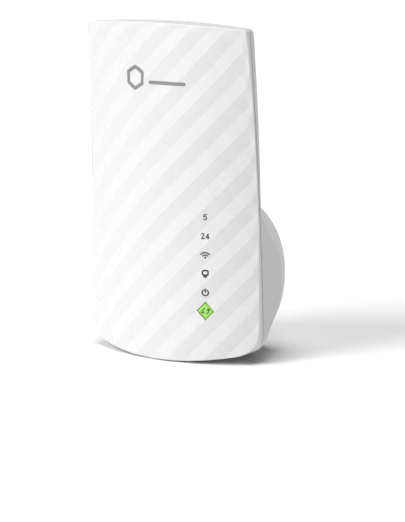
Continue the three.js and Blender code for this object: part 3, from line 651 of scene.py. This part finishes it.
def front_cover():
    flat, faces = face_net()
    faces = wound(flat, faces)
    outer, hole = open_loops(faces)[:2]
    count = len(flat)

    def rim_y(ring):
        return parting_y(ring[:, 1]) - SEAM / 2

    def stand(ring, y):
        return np.stack([ring[:, 0], y, ring[:, 1]], axis=1)

    outside = stand(flat, shell_y(flat[:, 0], flat[:, 1]))
    inner_flat = front_inside(flat)
    inner_y = np.minimum(face_y(inner_flat[:, 0], inner_flat[:, 1]) + FRONT_WALL,
                         rim_y(inner_flat) - CLEAR)
    inside = stand(inner_flat, inner_y)
    points = [outside, inside]
    all_faces = [tuple(f) for f in faces] + [tuple(count + k for k in reversed(f)) for f in faces]
    total = 2 * count

    def bridge(first, second):
        for k in range(len(first)):
            after = (k + 1) % len(first)
            all_faces.append((first[after], first[k], second[k], second[after]))

    def run_down(chain, rings):
        """Strips from a chain of the face over the rings to the same chain of the inner skin."""
        nonlocal total
        previous = chain
        for ring in rings:
            points.append(ring)
            current = list(range(total, total + len(ring)))
            bridge(previous, current)
            previous = current
            total += len(ring)
        bridge(previous, [count + k for k in chain])

    # Round the outer edge from the face's own slope, go down the side wall and in along the rim
    rim = flat[outer]
    out = normals_of(rim)
    base = face_y(rim[:, 0], rim[:, 1])
    bumps = relief(rim[:, 0], rim[:, 1])
    step = 0.1
    before = rim - out * step
    slope = np.arctan(np.maximum(0, base - face_y(before[:, 0], before[:, 1])) / step)
    radius = EDGE_ROUND / (1 - np.sin(slope))
    rings = []
    for share in (0.25, 0.5, 0.75, 1):
        turn = slope + (math.pi / 2 - slope) * share
        reach = radius * (np.sin(turn) - np.sin(slope))
        drop = radius * (np.cos(slope) - np.cos(turn))
        rings.append(stand(rim + out * reach[:, None], base + drop + bumps * (1 - share)))
    edge = rim + out * EDGE_ROUND
    lip = 0.3
    rings[-1][:, 1] = np.minimum(rings[-1][:, 1], rim_y(edge) - 2 * lip)
    rings.append(stand(edge, rim_y(edge) - lip))
    rings.append(stand(rim + out * (EDGE_ROUND - lip), rim_y(edge)))
    rings.append(stand(inner_flat[outer], rim_y(edge)))
    run_down(outer, rings)

    # The same through the button's hole
    rim = flat[hole]
    out = normals_of(rim)
    top = outside[hole][:, 1]
    run_down(hole, [stand(rim + out * HOLE_LIP * 0.6, top + HOLE_LIP * 0.3),
                    stand(rim + out * HOLE_LIP, top + HOLE_LIP)])
    mesh = mesh_of("front_cover_shell", np.vstack(points), all_faces, COVER_CREASE)
    piece("front_cover_shell", mesh, FRONT_WHITE, "housing", ["front_cover"])


front_cover()

# ---------------------------------------------------------------- back cover


def boss_rim(ring, inset):
    """The boss's rim, one point in the direction of each point of a ring."""
    angle = np.arctan2(ring[:, 1], ring[:, 0])
    along_x = np.abs(np.cos(angle)) / (BOSS_HALF_WIDTH - inset)
    along_z = np.abs(np.sin(angle)) / (BOSS_HALF_HEIGHT - inset)
    radius = (along_x**BOSS_POWER + along_z**BOSS_POWER) ** (-1 / BOSS_POWER)
    return np.stack([radius * np.cos(angle), radius * np.sin(angle)], axis=1)


def flank_foot(rim, ring):
    reach = np.linalg.norm(ring, axis=1) / np.linalg.norm(rim, axis=1)
    return rim * np.minimum(BOSS_FLANK, reach)[:, None]


def between(first, second, share):
    return first + (second - first) * share


def back_shell():
    """The back cover as one skin: boss, flank and thin back, over the lip and tongue, back inside."""
    edge_inset = 0.4
    outside = outline(0)
    near_edge = outline(edge_inset)
    tongue_outside = outline(TONGUE_INSET)
    tongue_inside = outline(TONGUE_INSET + TONGUE_THICK)
    rim = boss_rim(near_edge, 0)
    foot = flank_foot(rim, near_edge)
    inside_rim = boss_rim(tongue_inside, BOSS_WALL)
    inside_foot = flank_foot(inside_rim, tongue_inside)

    def seam_y(x, z):
        return parting_y(z) + SEAM / 2

    def outer_y(x, z):
        return np.maximum(back_y(x, z), seam_y(x, z) + edge_inset + CLEAR)

    def inner_y(x, z):
        wall = np.where(z > BOSS_HALF_HEIGHT, BACK_WALL, BOSS_WALL)
        return back_y(x, z, BOSS_WALL) - wall

    def tongue_y(x, z):
        return np.maximum(parting_y(z) - TONGUE_HEIGHT, face_y(x, z) + FRONT_WALL + SEAM)

    def lift(ring, height):
        y = height(ring[:, 0], ring[:, 1]) if callable(height) else np.full(len(ring), float(height))
        return np.stack([ring[:, 0], y, ring[:, 1]], axis=1)

    rings = [lift(rim * share, 0) for share in (0.12, 0.4, 0.7, 0.9, 0.97)]
    rings += [lift(between(rim, foot, share), outer_y) for share in np.linspace(0, 1, 25)[:-1]]
    rings += [lift(between(foot, near_edge, share), outer_y) for share in np.linspace(0, 1, 8)]
    for turn in (30, 60, 90):
        reach = math.sin(math.radians(turn))
        drop = edge_inset * (1 - math.cos(math.radians(turn)))
        ring = lift(between(near_edge, outside, reach), outer_y)
        ring[:, 1] = lift(near_edge, outer_y)[:, 1] - drop
        rings.append(ring)
    lip = 0.2
    seam_ring = lift(outside, seam_y)
    seam_ring[:, 1] += lip
    rings.append(seam_ring)
    rings.append(lift(between(outside, near_edge, lip / edge_inset), seam_y))
    rings.append(lift(tongue_outside, seam_y))
    rings.append(lift(tongue_outside, tongue_y))
    rings.append(lift(tongue_inside, tongue_y))
    rings += [lift(between(inside_foot, tongue_inside, share), inner_y) for share in (0.95, 0.7, 0.35, 0)]
    rings += [lift(between(inside_rim, inside_foot, share), inner_y) for share in np.linspace(0.9, 0, 10)]
    rings += [lift(inside_rim * share, -BOSS_WALL) for share in (0.8, 0.4, 0.12)]
    return rings_mesh("back_shell", rings, 28)


def back_cutters():
    """Blade slots, network port, pin hole, label recess and vents, as one mesh."""
    cutters = []
    for side in (-1, 1):
        shape = rounded_box(BLADE_THICK + 2 * BLADE_SLACK, BLADE_WIDTH + 2 * BLADE_SLACK, 0.4,
                            (side * BLADE_SPACING / 2, 0))
        cutters.append(prism("slot", shape, "y", -5, 2))
    port_front = PORT_FRONT_Y - BLADE_SLACK
    port_back = PORT_BACK_Y + LATCH_DEPTH + BLADE_SLACK
    port_half = PORT_HALF_HEIGHT + COLLAR_LIP + CLEAR
    port = rounded_box(port_back - port_front, 2 * port_half, 0.3, ((port_back + port_front) / 2, JACK_Z))
    cutters.append(prism("port", port, "x", -HALF_WIDTH - 2, JACK_MOUTH_X + 1))
    pin = circle(PIN_HOLE_RADIUS, (RESET_Y, RESET_Z), 28)
    cutters.append(prism("pin", pin, "x", -HALF_WIDTH - 2, -26.5))
    label_middle = (LABEL_SPAN[0] + LABEL_SPAN[1]) / 2
    recess = rounded_box(2 * LABEL_HALF_WIDTH, LABEL_SPAN[1] - LABEL_SPAN[0], 0.8, (0, label_middle))
    cutters.append(prism("recess", recess, "y", -LABEL_RECESS, 1))
    slots_each_side, slot_pitch, slot_width, slot_length = 5, 3.6, 1.3, 12
    low_slot_y, high_slot_z = -15, 68
    slot_corner = slot_width / 2 - 0.02
    for i in range(-slots_each_side, slots_each_side + 1):
        x = i * slot_pitch
        low_slot = rounded_box(slot_width, slot_length, slot_corner, (x, low_slot_y), steps=7)
        cutters.append(prism("vent", low_slot, "z", BOTTOM - 2, BOTTOM + 5))
        high_slot = rounded_box(slot_width, slot_length, slot_corner, (x, high_slot_z), steps=7)
        cutters.append(prism("vent", high_slot, "y", -32, -20))
    return joined("cutters", cutters)


def back_cover():
    mesh = cut_mesh(back_shell(), back_cutters(), 28)
    piece("back_cover_shell", mesh, BACK_WHITE, "housing", ["back_cover"])


back_cover()

# ---------------------------------------------------------------- printed marks


def resampled(points, step=0.18, closed=False):
    """The polyline with points no further apart than step."""
    points = [np.array(p, float) for p in points]
    if closed:
        points.append(points[0])
    result = [points[0]]
    for a, b in zip(points, points[1:]):
        pieces = max(1, math.ceil(np.linalg.norm(b - a) / step))
        result += [a + (b - a) * (k + 1) / pieces for k in range(pieces)]
    return np.array(result[:-1] if closed else result)


def arc(middle, radius, first, last, steps=20):
    turns = np.radians(np.linspace(first, last, steps + 1))
    return [(middle[0] + radius * math.cos(t), middle[1] + radius * math.sin(t)) for t in turns]


def stroke(points, width, closed=False):
    """A pen stroke as pairs of points, left and right, with round ends."""
    line = resampled(points, closed=closed)
    half = width / 2
    if closed:
        ahead = np.roll(line, -1, axis=0) - np.roll(line, 1, axis=0)
    else:
        ahead = np.gradient(line, axis=0)
    ahead = ahead / np.maximum(np.linalg.norm(ahead, axis=1)[:, None], 1e-9)
    side = np.stack([-ahead[:, 1], ahead[:, 0]], axis=1)
    pairs = [(p + s * half, p - s * half) for p, s in zip(line, side)]
    if closed:
        return pairs, True
    caps = []
    for turn in (80, 55, 30):
        back = half * math.sin(math.radians(turn))
        narrow = half * math.cos(math.radians(turn))
        caps.append((back, narrow))
    head = [(line[0] - ahead[0] * b + side[0] * n, line[0] - ahead[0] * b - side[0] * n) for b, n in caps]
    tail = [(line[-1] + ahead[-1] * b + side[-1] * n, line[-1] + ahead[-1] * b - side[-1] * n)
            for b, n in reversed(caps)]
    return head + pairs + tail, False


def print_mesh(name, strokes, middle, height, proud=0.05, sunk=0.12):
    """Strokes as thin slabs that follow the surface. middle is X and Z; height(x, z) is the surface."""
    points, faces = [], []
    lanes = 4
    ring_size = 2 * (lanes + 1)
    for pairs, closed in strokes:
        start = len(points)
        for left, right in pairs:
            row = [left + (right - left) * k / lanes for k in range(lanes + 1)]
            under = []
            for along, up in row:
                x = across_from(along_face(middle[0]) + along)
                z = middle[1] + up
                y = float(height(x, z))
                points.append((x, y - proud, z))
                under.append((x, y + sunk, z))
            points += reversed(under)
        last = len(pairs) if closed else len(pairs) - 1
        for k in range(last):
            a = start + ring_size * k
            b = start + ring_size * ((k + 1) % len(pairs))
            for i in range(ring_size):
                after = (i + 1) % ring_size
                faces.append((a + i, a + after, b + after, b + i))
        if not closed:
            end = start + ring_size * (len(pairs) - 1)
            faces.append(tuple(start + i for i in reversed(range(ring_size))))
            faces.append(tuple(end + i for i in range(ring_size)))
    return mesh_of(name, points, faces, 30)


def shifted(points, dx):
    return [(x + dx, z) for x, z in points]


FIGURE_PEN = 0.34
FIGURE_FIVE = [(0.42, 0.85), (-0.33, 0.85), (-0.42, 0.08), (-0.12, 0.24), (0.22, 0.18), (0.43, -0.12),
               (0.43, -0.46), (0.2, -0.78), (-0.12, -0.86), (-0.46, -0.66)]
FIGURE_TWO = [(-0.43, 0.48), (-0.3, 0.76), (0, 0.87), (0.3, 0.76), (0.43, 0.46), (0.3, 0.1),
              (-0.44, -0.83), (0.46, -0.83)]
FIGURE_FOUR = [(0.2, -0.85), (0.2, 0.85), (-0.52, -0.38), (0.52, -0.38)]
FIGURE_POINT = [(-0.01, -0.8), (0.01, -0.8)]


def legend_strokes():
    """Strokes of the five legends, from the lowest up."""
    power = [stroke(arc((0, -0.05), 0.98, 125, 415, 30), 0.42), stroke([(0, 1.2), (0, 0.1)], 0.42)]
    screen = [stroke(rounded_box(1.95, 1.5, 0.42, (0, 0.3)), 0.52, True),
              stroke([(-0.45, -0.98), (0.45, -0.98)], 0.5)]
    waves = [stroke(arc((0, -0.95), radius, 42, 138), 0.42) for radius in (0.95, 1.75)]
    waves.append(stroke([(-0.02, -0.85), (0.02, -0.85)], 0.62))
    low_band = [stroke(shifted(FIGURE_TWO, -0.85), FIGURE_PEN), stroke(FIGURE_POINT, 0.3),
                stroke(shifted(FIGURE_FOUR, 0.85), FIGURE_PEN)]
    high_band = [stroke(FIGURE_FIVE, FIGURE_PEN)]
    return {"power": power, "wired": screen, "signal": waves, "band_low": low_band, "band_high": high_band}


def legends():
    for i, (name, strokes) in enumerate(legend_strokes().items()):
        middle = (COLUMN_X, BUTTON_Z + LAMP_PITCH * (i + 1))
        mesh = print_mesh(f"legend_{name}", strokes, middle, shell_y)
        piece(f"legend_{name}", mesh, INK_GREY, "housing")


def emblem():
    """A plain hexagon and a bar."""
    middle = (-8.0, 66.0)
    radius, pen = 3.5, 1.15
    bar_start, bar_end, bar_height = 6.2, 18.6, -1.2
    hexagon = stroke(arc((0, 0), radius, 30, 330, 5), pen, True)
    bar = stroke([(bar_start, bar_height), (bar_end, bar_height)], pen)
    mesh = print_mesh("emblem", [hexagon, bar], middle, shell_y)
    piece("emblem", mesh, EMBLEM_GREY, "housing")


legends()
emblem()

# ---------------------------------------------------------------- sync button


def button_y(x, z):
    """The cap's face: the cover's own curve, falling away in a chamfer at its four sides."""
    u, v = lattice(x, z)
    half_side = BUTTON_HALF_DIAGONAL / math.sqrt(2)
    to_side = half_side - np.maximum(np.abs(u), np.abs(v))
    chamfer, fall = 0.5, 0.34
    return face_y(x, z) + BUTTON_SUNK + fall * np.clip(1 - to_side / chamfer, 0, 1)


def button():
    half_side = BUTTON_HALF_DIAGONAL / math.sqrt(2)
    base = np.array(rounded_box(2 * half_side, 2 * half_side, 0.35, steps=4))
    ring = resampled(base, 0.3, True)

    def placed(share, height):
        x, z = off_lattice(ring[:, 0] * share, ring[:, 1] * share)
        y = height(x, z) if callable(height) else np.full(len(x), float(height))
        return np.stack([x, y, z], axis=1)

    shares = (0.1, 0.3, 0.5, 0.65, 0.77, 0.8, 0.84, 0.88, 0.92, 0.96, 0.99)
    rings = [placed(share, button_y) for share in shares]
    low_edge = placed(1, button_y)
    low_edge[:, 1] += 0.06
    rings += [low_edge, placed(1, BUTTON_FOOT_Y), placed(0.5, BUTTON_FOOT_Y), placed(0.1, BUTTON_FOOT_Y)]
    cap = rings_mesh("cap", rings, 24)
    bar_shape = rounded_box(2.2, 7.4, 0.3, (COLUMN_X, BUTTON_Z))
    retainer = prism("retainer", bar_shape, "y", BUTTON_FOOT_Y - 0.4, BUTTON_FOOT_Y, 0.08)
    mesh = joined("sync_button_cap", [cap, retainer])
    piece("sync_button_cap", mesh, BUTTON_GREEN, "sync_key", ["sync_button"])
    strokes = []
    for side in (1, -1):
        bend = [(-0.95 * side, -0.75 * side), (-0.95 * side, 0.35 * side), (-0.2 * side, 0.85 * side)]
        tip = bend[0]
        head = [(tip[0] - 0.42, tip[1] + 0.42 * side), tip, (tip[0] + 0.42, tip[1] + 0.42 * side)]
        strokes += [stroke(bend, 0.34), stroke(head, 0.34)]
    symbol = print_mesh("sync_button_symbol", strokes, (COLUMN_X, BUTTON_Z), button_y, 0.02, 0.03)
    piece("sync_button_symbol", symbol, SYMBOL_GREEN, "sync_key")


button()

# ---------------------------------------------------------------- plug blades


def blade(name, side):
    """A plated blade with a rounded tip, a tip hole and softly broken edges."""
    edge = 0.16
    half_wide = BLADE_WIDTH / 2
    chamfer = 1.6
    tip_start = BLADE_LENGTH - chamfer
    right = quadratic((tip_start, half_wide), (BLADE_LENGTH, half_wide),
                      (BLADE_LENGTH, half_wide - chamfer), 8)
    left = quadratic((BLADE_LENGTH, chamfer - half_wide), (BLADE_LENGTH, -half_wide),
                     (tip_start, -half_wide), 8)
    shape = [(BLADE_ROOT_Y, half_wide), *right[1:], (BLADE_LENGTH, half_wide - chamfer)]
    shape = [*shape, (BLADE_LENGTH, chamfer - half_wide), *left[1:], (tip_start, -half_wide),
             (BLADE_ROOT_Y, -half_wide)]
    shape = np.array(shape)[::-1]
    x = side * BLADE_SPACING / 2
    half_thick = BLADE_THICK / 2
    body = prism(name, shape, "x", x - half_thick, x + half_thick, edge)
    hole = prism("hole", circle(BLADE_HOLE_RADIUS, (BLADE_HOLE_Y, 0), 40), "x", x - 2, x + 2)
    mesh = cut_mesh(body, hole)
    piece(name, mesh, SLOT_LOOKS["blade_metal"], "housing", [name.replace("_plated", "")])


blade("line_blade_plated", 1)
blade("neutral_blade_plated", -1)

# ---------------------------------------------------------------- network jack, contacts and label


def jack():
    middle_y = (JACK_FRONT_Y + JACK_BACK_Y) / 2
    block_shape = rounded_box(JACK_BACK_Y - JACK_FRONT_Y, 2 * JACK_HALF_HEIGHT, 0.5, (middle_y, JACK_Z))
    collar_front = PORT_FRONT_Y - 2 * CLEAR
    collar_back = PORT_BACK_Y + LATCH_DEPTH + 2 * CLEAR
    collar_half = PORT_HALF_HEIGHT + COLLAR_LIP
    collar_shape = rounded_box(collar_back - collar_front, 2 * collar_half, 0.3,
                               ((collar_front + collar_back) / 2, JACK_Z))
    step = 0.5
    block = prism("block", block_shape, "x", JACK_MOUTH_X + step, JACK_BACK_X, 0.15)
    collar = prism("collar", collar_shape, "x", JACK_MOUTH_X, JACK_MOUTH_X + 2 * step, 0.08)
    cavity_shape = rounded_box(PORT_BACK_Y - PORT_FRONT_Y, 2 * PORT_HALF_HEIGHT, 0.15,
                               ((PORT_BACK_Y + PORT_FRONT_Y) / 2, JACK_Z), 2)
    latch_low = PORT_BACK_Y - 1
    latch_high = PORT_BACK_Y + LATCH_DEPTH
    latch_shape = rounded_box(latch_high - latch_low, 6.2, 0.15, ((latch_low + latch_high) / 2, JACK_Z), 2)
    mouth = JACK_MOUTH_X - 1
    deep = JACK_BACK_X - 2.5
    body = object_of("jack_body", block, SLOT_LOOKS["natural_plastic"])
    cavity = prism("cavity", cavity_shape, "x", mouth, deep)
    latch = prism("latch", latch_shape, "x", mouth, deep - 0.01)
    tools = []
    for operation, mesh in (("UNION", collar), ("DIFFERENCE", cavity), ("DIFFERENCE", latch)):
        tool = bpy.data.objects.new("jack_tool", mesh)
        bpy.context.scene.collection.objects.link(tool)
        modifier = body.modifiers.new("cut", "BOOLEAN")
        modifier.operation = operation
        modifier.solver = "EXACT"
        modifier.object = tool
        tools.append(tool)
    mesh = settled(body)
    for tool in tools:
        bpy.data.objects.remove(tool)
    piece("network_jack_body", mesh, SLOT_LOOKS["natural_plastic"], "housing",
          ["network_jack"])


def contacts():
    """Eight gold-plated spring wires on their moulded strip."""
    strip_shape = rounded_box(2.5, 10.4, 0.15, (-14.25, JACK_Z), 2)
    meshes = [prism("strip", strip_shape, "y", PORT_FRONT_Y + 0.1, PORT_FRONT_Y + 1.1, 0.05)]
    front = PORT_FRONT_Y + 0.25
    for i in range(8):
        z = JACK_Z + (i - 3.5) * CONTACT_PITCH
        wire = rounded_box(9.5, 0.44, 0.12, (-19.75, z), 2)
        meshes.append(prism("wire", wire, "y", front, front + 0.35, 0.06))
    mesh = joined("jack_contact_wires", meshes)
    piece("jack_contact_wires", mesh, SLOT_LOOKS["contact_gold"], "housing",
          ["jack_contacts"])


def label():
    margin = 0.4
    middle = (0, (LABEL_SPAN[0] + LABEL_SPAN[1]) / 2)
    width = 2 * (LABEL_HALF_WIDTH - margin)
    height = LABEL_SPAN[1] - LABEL_SPAN[0] - 2 * margin
    shape = rounded_box(width, height, 0.7, middle)
    mesh = prism("rating_label_film", shape, "y", -LABEL_RECESS + CLEAR, -LABEL_RECESS + 2 * CLEAR, 0.03)
    piece("rating_label_film", mesh, SLOT_LOOKS["label"], "housing", ["rating_label"])


jack()
contacts()
label()

# ---------------------------------------------------------------- finishes of the CAD nodes that still show

NODE_SLOTS = {
    "black_plastic": ["blade_carrier", "sync_switch_body", "reset_switch_body", "light_blocker"],
    "natural_plastic": ["sync_switch_plunger", "reset_switch_plunger", "power_connector"],
    "lamp_resin": ["lamp_power", "lamp_wired", "lamp_signal", "lamp_band_low", "lamp_band_high",
                   "lamp_sync"],
    "clear_plastic": ["light_guide"],
    "circuit_board": ["main_board", "power_board"],
    "tinned_steel": ["shield_can", "antenna_low_band", "antenna_high_band", "board_screw_1", "board_screw_2",
                     "board_screw_3", "power_screw_1", "power_screw_2"],
    "chip_resin": ["processor", "flash_chip", "network_magnetics", "bridge_rectifier", "switching_controller"],
    "thermal_pad": ["thermal_pad"],
    "heat_sink_metal": ["heat_sink"],
    "black_wire": ["antenna_lead_low", "antenna_lead_high", "lead_negative"],
    "red_wire": ["lead_positive"],
    "ferrite": ["transformer_core", "choke"],
    "winding_tape": ["transformer_winding"],
    "capacitor_sleeve": ["bulk_capacitor_1", "bulk_capacitor_2", "output_capacitor"],
    "blue_ceramic": ["isolation_capacitor"],
    "fuse_body": ["fuse"],
    "insulating_film": ["safety_capacitor", "insulating_sheet"],
}


def finish_cad_nodes():
    for slot_name, node_names in NODE_SLOTS.items():
        for node_name in node_names:
            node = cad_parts[node_name]
            node.data.materials.clear()
            node.data.materials.append(SLOT_LOOKS[slot_name])


finish_cad_nodes()

# ---------------------------------------------------------------- floor, light and camera


def floor():
    size = 8.0
    z = BOTTOM * MM - 0.0003
    mesh = bpy.data.meshes.new("floor")
    corners = [(-size, -size, z), (size, -size, z), (size, size, z), (-size, size, z)]
    mesh.from_pydata(corners, [], [(0, 1, 2, 3)])
    pale = finish_material("pale_floor", (0.90, 0.90, 0.90), 0.7, shift=0.01, fine=300)
    obj = object_of("floor", mesh, pale)


def sun_light(name, azimuth, elevation, strength, softness):
    """Even light from far away. Azimuth 0 comes from the front, 90 from +X. softness is its angle across."""
    data = bpy.data.lights.new(name, "SUN")
    data.energy = strength
    data.angle = math.radians(softness)
    turn, rise = math.radians(azimuth), math.radians(elevation)
    source = Vector((math.sin(turn) * math.cos(rise), -math.cos(turn) * math.cos(rise), math.sin(rise)))
    obj = bpy.data.objects.new(name, data)
    obj.rotation_mode = "QUATERNION"
    obj.rotation_quaternion = (-source).to_track_quat("-Z", "Y")
    bpy.context.scene.collection.objects.link(obj)


def world_light():
    """Pale all round at the horizon, so that low views have a pale background, and dim above."""
    world = bpy.data.worlds.new("studio")
    bpy.context.scene.world = world
    world.use_nodes = True
    tree = world.node_tree
    direction = tree.nodes.new("ShaderNodeTexCoord")
    parts = tree.nodes.new("ShaderNodeSeparateXYZ")
    spread = tree.nodes.new("ShaderNodeMapRange")
    spread.interpolation_type = "SMOOTHSTEP"
    pale_below, dim_above = 0.12, 0.17
    pale, dim = 1.05, 0.06
    spread.inputs["From Min"].default_value = pale_below
    spread.inputs["From Max"].default_value = dim_above
    spread.inputs["To Min"].default_value = pale
    spread.inputs["To Max"].default_value = dim
    tree.links.new(direction.outputs["Generated"], parts.inputs["Vector"])
    tree.links.new(parts.outputs["Z"], spread.inputs["Value"])
    tree.links.new(spread.outputs["Result"], tree.nodes["Background"].inputs["Strength"])
    tree.nodes["Background"].inputs["Color"].default_value = (1, 1, 1, 1)


def camera():
    """A long lens, aimed from the front right and a little above."""
    focal_length, image_height, sensor = 2300, 522, 36
    azimuth, elevation, distance = math.radians(32.43), math.radians(10.88), 0.789
    target = Vector((-0.00926, 0.0055, -0.00123))
    forward = Vector((-math.sin(azimuth) * math.cos(elevation),
                      math.cos(azimuth) * math.cos(elevation), -math.sin(elevation)))
    data = bpy.data.cameras.new("camera")
    data.sensor_width = sensor
    data.lens = sensor * focal_length / image_height
    data.clip_end = 50
    obj = bpy.data.objects.new("camera", data)
    obj.location = target - forward * distance
    obj.rotation_mode = "QUATERNION"
    obj.rotation_quaternion = forward.to_track_quat("-Z", "Y")
    bpy.context.scene.collection.objects.link(obj)
    bpy.context.scene.camera = obj


floor()
world_light()
sun_light("key", -28, 36, 2.4, 30)
sun_light("top", 0, 88, 2.3, 40)
camera()
bpy.context.scene.view_settings.view_transform = "Standard"
